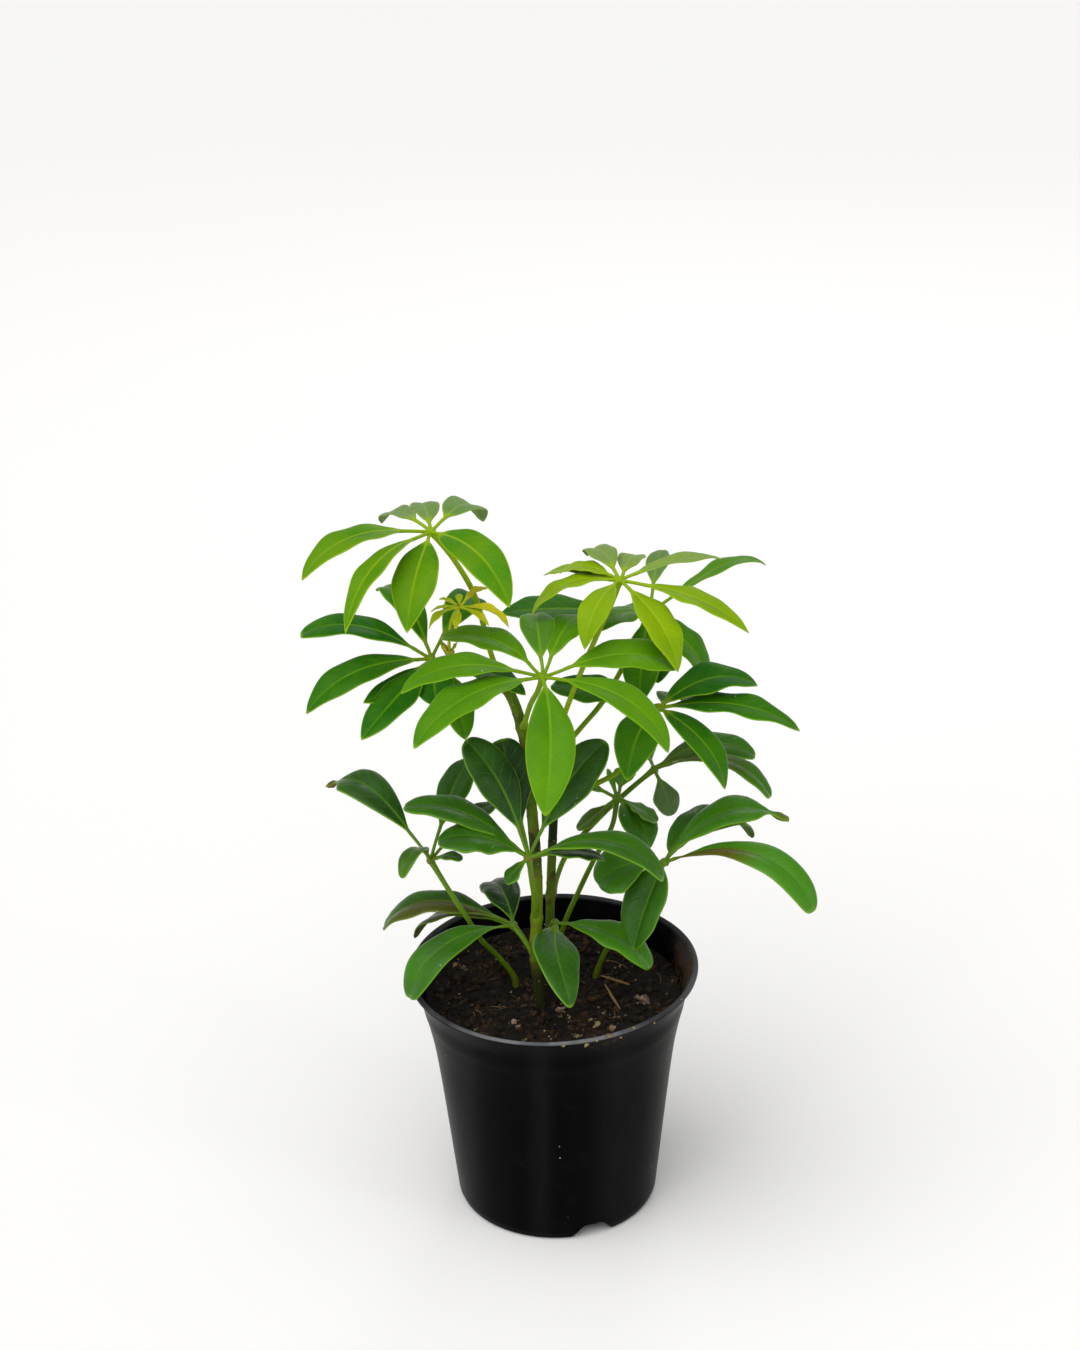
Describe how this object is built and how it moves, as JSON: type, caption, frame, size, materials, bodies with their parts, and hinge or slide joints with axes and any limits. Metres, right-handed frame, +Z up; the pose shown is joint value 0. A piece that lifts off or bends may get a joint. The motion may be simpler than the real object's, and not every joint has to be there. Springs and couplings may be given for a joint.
{
  "type": "potted umbrella plant",
  "caption": "Small umbrella plant with whorls of glossy leaflets on thin petioles, rooted in soil in a black plastic nursery pot.",
  "frame": {"origin": "centre of the pot's underside, on the pot's axis, at the plane the pot stands on", "axes": "+Z up along the pot's axis; +X to the right and +Y away from the viewer of the front"},
  "size_m": [0.2035, 0.1492, 0.3075],
  "materials": {
    "pot_plastic": "black injection-moulded polypropylene, softly glossy",
    "soil": "dark loose peat, fully rough",
    "stem_green": "smooth green stem, satin",
    "leaf_young": "young leaf, bright yellow-green, satin",
    "leaf_middle": "leaf, fresh green, satin gloss",
    "leaf_old": "old leaf, dark green, waxy gloss",
    "leaf_bronze": "unfolding leaf, yellow with a bronze flush, satin"
  },
  "bodies": {
    "root": {"pot": "pot_plastic", "soil": "soil", "stem_main": "stem_green", "stem_second": "stem_green", "frond_top_left": "leaf_young", "frond_left": "leaf_middle", "frond_young": "leaf_bronze", "frond_centre": "leaf_middle", "frond_top_right": "leaf_young", "frond_back_right": "leaf_middle", "frond_right": "leaf_middle", "frond_back_low_right": "leaf_old", "frond_back_centre": "leaf_old", "frond_low_centre": "leaf_old", "frond_left_outer": "leaf_old", "frond_low_left": "leaf_old", "frond_low_front": "leaf_old", "frond_low_front_right": "leaf_old", "frond_low_right": "leaf_old"}
  },
  "joints": []
}
